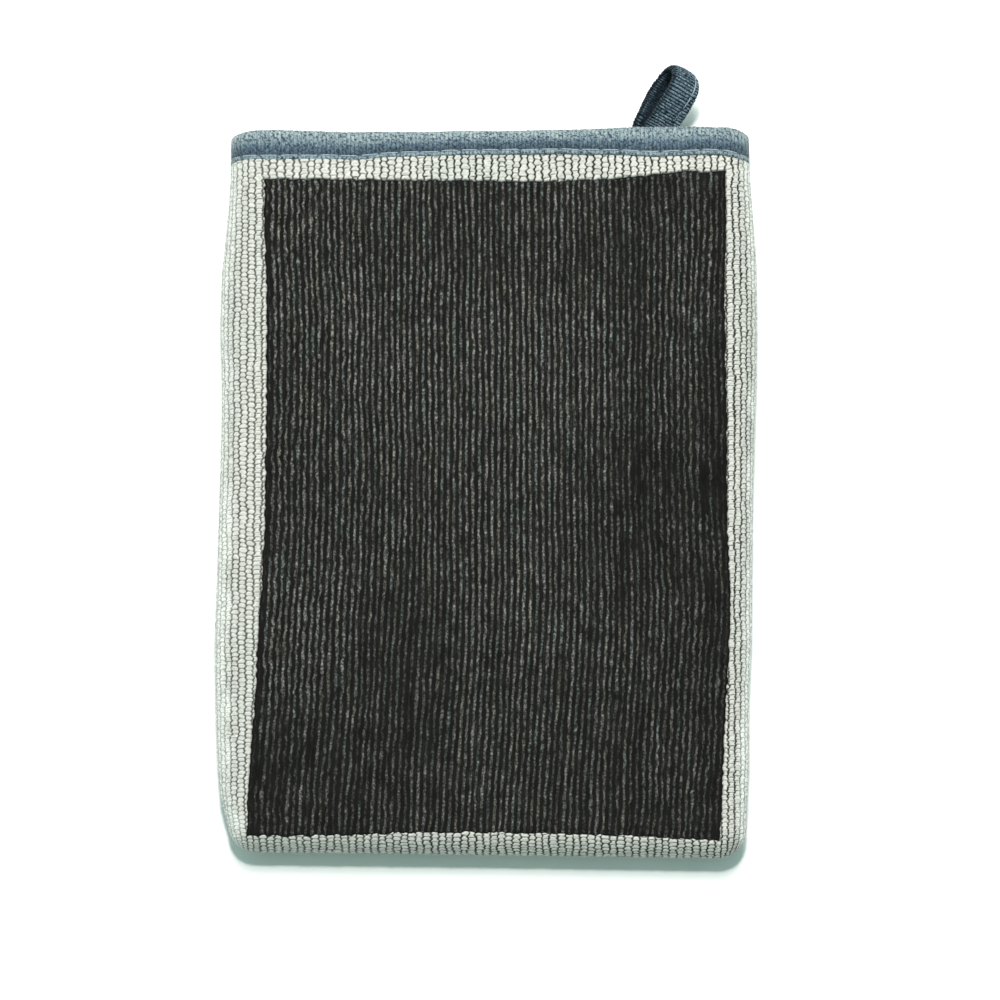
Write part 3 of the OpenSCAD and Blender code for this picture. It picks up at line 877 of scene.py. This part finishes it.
# ---- the hang loop ----
AXIS_W = np.array(JOINT["axis"])
AXIS_L = -np.cross(AXIS_W, [0, 0, 1.0])
AXIS_L /= np.linalg.norm(AXIS_L)
AXIS_S = np.cross(AXIS_W, AXIS_L)
FLAT_W = np.cross(AXIS_L, [0, 0, 1.0])
TAPE_W, TAPE_T = 10.0, 1.7
BEND_R = 6.5
BEND_AT = 12.6


def loop_path(count):
    """Middle line of the folded tape, out along the upper leg and back along the lower one."""
    turn = math.acos((BEND_R - TAPE_T / 2) / BEND_AT)
    d, n = np.array([math.sin(turn), math.cos(turn)]), np.array([-math.cos(turn), math.sin(turn)])
    half = TAPE_T / 2 + 0.06
    leg = [np.array([q, half]) for q in np.arange(-11, -0.4, 0.25)]
    leg += [n * half + d * t for t in np.arange(0.6, BEND_AT * math.sin(turn) - 0.2, 0.25)]
    a = np.radians(np.arange(180 - math.degrees(turn), 0, -3.0))
    leg += [np.array([BEND_AT + BEND_R * math.cos(q), BEND_R * math.sin(q)]) for q in a]
    leg = np.array(leg)
    line = np.vstack([leg, leg[::-1] * [1, -1]])
    s = np.concatenate([[0], np.cumsum(np.linalg.norm(np.diff(line, axis=0), axis=1))])
    at = np.linspace(0, s[-1], count)
    line = np.stack([np.interp(at, s, line[:, j]) for j in (0, 1)], -1)
    width = max(3, int(1.3 / (at[1] - at[0])) | 1)
    pad = width // 2
    padded = np.pad(line, ((pad, pad), (0, 0)), "edge")
    kernel = np.hanning(width + 2)[1:-1]
    kernel /= kernel.sum()
    smooth = np.stack([np.convolve(padded[:, j], kernel, "valid") for j in (0, 1)], -1)
    smooth[:, 1] += 0.22 * np.sin(smooth[:, 0] * 0.55 + 0.7) * step(1, 5, smooth[:, 0])
    return smooth, at


def loop_frame(line):
    """Takes a line in the loop's plane into the mitt, flat on the back rim behind the hinge."""
    flat = step(-1.0, -8.0, line[:, 0])[:, None]
    s_dir = AXIS_S * (1 - flat) + np.array([0, 0, 1.0]) * flat
    s_dir /= np.linalg.norm(s_dir, axis=1)[:, None]
    w_dir = np.cross(AXIS_L, s_dir)
    centre = HINGE + np.array([0, 0, 1.0]) * flat * (BIND_IN + TAPE_T - HINGE[2])
    # the two ends lie a little aside of each other, and the bend leans out
    t = np.linspace(0, 1, len(line))
    aside = 2.0 - 0.9 * step(0.22, 0.5, t) - 2.5 * step(0.55, 0.9, t)
    aside = aside[:, None] * (1 - flat)
    return centre + line[:, :1] * AXIS_L + line[:, 1:] * s_dir + aside * w_dir, s_dir, w_dir


def hang_loop():
    """The loop's tape, its edge stitches and the tack that holds its ends."""
    nu, nv = ((760, 72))
    line, at = loop_path(nu)
    t = np.gradient(line, axis=0)
    t /= np.linalg.norm(t, axis=1)[:, None]
    out2 = np.stack([-t[:, 1], t[:, 0]], -1)
    place, s_dir, w_dir = loop_frame(line)
    out = out2[:, :1] * AXIS_L + out2[:, 1:] * s_dir
    hw, ht = TAPE_W / 2, TAPE_T / 2
    section = closed_curve(
        np.array([[-hw + 0.5, ht], [-1.6, ht * 1.02], [1.6, ht * 1.02], [hw - 2.6, ht * 0.98],
                  [hw - 2.2, ht * 0.62], [hw - 1.7, ht * 0.8], [hw - 0.6, ht * 0.75], [hw, 0],
                  [hw - 0.6, -ht * 0.75], [1.6, -ht * 0.95], [-1.6, -ht * 0.95], [-hw + 0.5, -ht],
                  [-hw, 0]]), nv)
    tn = np.roll(section, -1, 0) - np.roll(section, 1, 0)
    nw, no = -tn[:, 1], tn[:, 0]
    k = np.hypot(nw, no)
    nw, no = nw / k, no / k
    a = at[:, None] + 0 * section[None, :, 0]
    w = section[None, :, 0] + 0 * at[:, None]
    phase = a / LOOP_CORD + 0.14 * noise(a + 40, w + 40, 81, 2.5, 3.5)
    r = np.abs(phase - np.round(phase)) * 2
    tuft = noise(a + 40, w + 40, 82, 0.5)
    push = 0.27 * (np.sqrt(np.clip(1 - r * r, 0, 1)) - 0.75) + 0.12 * tuft
    ww, oo = section[None, :, 0] + push * nw[None], section[None, :, 1] + push * no[None]
    # the tape's edges curl in where it bends
    round_bend = step(0.32, 0.5, at / at[-1]) * step(0.68, 0.5, at / at[-1])
    oo = oo - 1.3 * round_bend[:, None] * np.abs(w / hw) ** 3
    pts = place[:, None] + ww[..., None] * w_dir[:, None] + oo[..., None] * out[:, None]
    caps = place[[0, -1]]
    faces = [grid_faces(nu, nv, 0, False, wrap_v=True)]
    j = np.arange(nv)
    faces.append(np.stack([np.full(nv, nu * nv), j, (j + 1) % nv], -1)[:, ::-1])
    tail = (nu - 1) * nv
    faces.append(np.stack([np.full(nv, nu * nv + 1), tail + (j + 1) % nv, tail + j], -1)[:, ::-1])
    speck = noise(a + 40, w + 40, 83, 0.36, 0.34)
    within = step(0.1, -0.3, section[None, :, 1] + 0 * at[:, None])
    hair = noise(a + 41, w + 43, 84, 0.3, 0.9)
    under = step(0.5, 0.6, a / at[-1]) * step(-4.3, -2.4, w) * within
    # painted shade between the cords, on the inner face, under the upper leg and along the tape's left
    # edge, which would catch the light; plus dark specks
    gap = step(0.40, 0.85, r) + 0.6 * step(0.15, 0.7, -speck) + 0.15 * within + 0.8 * under
    gap = np.clip(gap + 0.7 * step(1.3 - hw, 0.4 - hw, w), 0, 1)
    pale = 0.40 + 0.65 * speck + 0.4 * step(0.2, 0.7, hair) + 0.12 * step(hw - 0.9, hw - 0.2, w)
    # the inner face is painted a little darker as painted shade
    pale = np.clip(pale - 0.2 * within, 0, 1)
    layers = {
        "crevice_shade_and_specks": np.concatenate([gap.ravel(), [1, 1]]),
        "pale": np.concatenate([pale.ravel(), [0, 0]]),
    }
    ob = build("loop_tape", np.vstack([pts.reshape(-1, 3), caps]), faces, layers)
    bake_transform(ob)
    dress(ob, None, "tape", LOOP_TAPE, "hang_loop", "loop_anchor")
    rng = np.random.default_rng(5)
    paths = []
    start_s = at[np.argmax(line[:, 0] > LOOP_CLEAR)]
    total = at[-1] - 2 * start_s
    count = round(total / LOOP_STITCH)
    for i in range(count):
        s0 = start_s + (i + 0.02) * total / count
        s1 = start_s + (i + 0.98) * total / count - rng.uniform(0, 0.12)
        s = np.linspace(s0, s1, 13)
        lift = ht * 0.62 + 0.2 - 0.4 * np.abs(np.linspace(-1, 1, 13)) ** 4
        near_root = step(0.25 * total, 0, np.minimum(s - start_s, start_s + total - s))
        wob = (hw - 2.0 + 0.1 * rng.uniform(-1, 1) - 0.8 * near_root)[:, None]
        here, sideways, outward = (
            np.stack([np.interp(s, at, way[:, m]) for m in range(3)], -1) for way in (place, w_dir, out)
        )
        paths.append(here + wob * sideways + lift[:, None] * outward)
    thread = tubes("loop_thread", paths, LOOP_THREAD_R)
    dress(thread, "loop", "thread_pale", THREAD, "loop_edge_stitch")
    tack = []
    mid = (TACK_LOW + TACK_HIGH) / 2
    for i in range(4):
        c = np.array([mid[0], mid[1], TACK_LOW[2] + 0.3]) + FLAT_W * (i - 1.5) * 2.2
        d = AXIS_L * 0.94 + FLAT_W * 0.34 * (-1) ** i
        tack.append(c + np.linspace(-1.2, 1.2, 9)[:, None] * d)
    dress(tubes("bar_tack_thread", tack, TACK_R), "mitt", "thread_blue", THREAD, "loop_bar_tack")


knit_panel("knit_front", 1, 11, "front_panel")
knit_panel("knit_back", -1, 21, "back_panel")
clay_piece()
lining("lining_cloth_front", 1, "lining_front")
lining("lining_cloth_back", -1, "lining_back")
foam_sheet()
binding()
ring_stitches("topstitch_thread", -0.16, "thread_pale", "cuff_topstitch")
ring_stitches("inner_thread", -5.05, "thread_pale", "cuff_inner_stitch")
join_stitches()
seams()
hang_loop()

SHOWN = {"lining_seam": WHITE_THREAD}
for ob in bpy.context.scene.objects:
    if "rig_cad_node" in ob and ob["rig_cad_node"] in SHOWN:
        ob.data.materials.clear()
        ob.data.materials.append(SHOWN[ob["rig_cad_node"]])

# ---- floor, light and camera ----
# the floor has a wide soft hollow behind the cuff, where the loop needs room to swing down
floor_x = np.concatenate([[-2000], np.linspace(-500, 500, 61), [2000]])
floor_y = CUFF_Y + np.concatenate([[-2000], np.linspace(1, 25, 49), np.linspace(40, 600, 36), [2000]])
floor_x, floor_y = np.meshgrid(floor_x, floor_y, indexing="ij")
hollow = step(500, 110, np.abs(floor_x)) * step(CUFF_Y + 1, CUFF_Y + 25, floor_y)
hollow = hollow * step(CUFF_Y + 600, CUFF_Y + 60, floor_y)
corners = np.stack([floor_x, floor_y, FLOOR_Z - HOLLOW * hollow], -1)
floor = build("floor", corners.reshape(-1, 3), [grid_faces(*floor_x.shape)])
floor_shader = Shader("floor_paint")
floor_colour = floor_shader.noise(3, 2)
floor_colour = floor_shader.ramp(floor_colour, (0.3, (0.90, 0.91, 0.91)), (0.7, (0.92, 0.93, 0.93)))
# the floor is warmer where the lamps no longer reach, so that it looks as neutral there
warmth = floor_shader.ramp(floor_shader.nearness(0.45), (0.1, (1, 0.82, 0.87)), (0.75, (1, 1, 1)))
floor_colour = floor_shader.mix(1.0, floor_colour, warmth, "MULTIPLY")
floor.data.materials.append(
    floor_shader.finish(floor_colour, floor_shader.span(floor_shader.noise(40, 2), 0.6, 0.7),
                        floor_shader.bump(floor_shader.noise(300, 2), 0.02, 0.0001))
)

world = bpy.data.worlds.new("studio")
bpy.context.scene.world = world
world.use_nodes = True
sky = next(n for n in world.node_tree.nodes if n.type == "BACKGROUND")
sky.inputs["Color"].default_value = (0.66, 1.0, 0.91, 1)
sky.inputs["Strength"].default_value = 0.43


def softbox(name, place, size, power, tint):
    """A square lamp that faces the mitt."""
    data = bpy.data.lights.new(name, "AREA")
    data.shape, data.size, data.energy, data.color = "SQUARE", size, power, tint
    ob = bpy.data.objects.new(name, data)
    bpy.context.scene.collection.objects.link(ob)
    ob.location = Vector(place)
    ob.rotation_mode = "QUATERNION"
    ob.rotation_quaternion = (Vector((0, 0, 0)) - Vector(place)).to_track_quat("-Z", "Y")


softbox("key", (-0.02, 0.47, 1.90), 0.17, 21.7, (1.0, 0.955, 0.94))
softbox("fill", (0.0, 0.88, 1.80), 0.55, 28, (1.0, 0.95, 0.95))

low, high = CAD_LOW, CAD_HIGH
aim = Vector((0.0042, -0.0025, (low.z + high.z) / 2))
tilt = math.radians(80)  # the photo looks almost straight down
distance = 2.2
back = Vector((0, -math.cos(tilt), math.sin(tilt)))
camera = bpy.data.objects.new("camera", bpy.data.cameras.new("camera"))
bpy.context.scene.collection.objects.link(camera)
camera.data.lens, camera.data.sensor_width = 253.8, 36
camera.data.clip_start, camera.data.clip_end = 0.1, 20
camera.location = aim + back * distance
camera.rotation_mode = "QUATERNION"
camera.rotation_quaternion = (-back).to_track_quat("-Z", "Y")
bpy.context.scene.camera = camera
bpy.context.scene.view_settings.view_transform = "Standard"
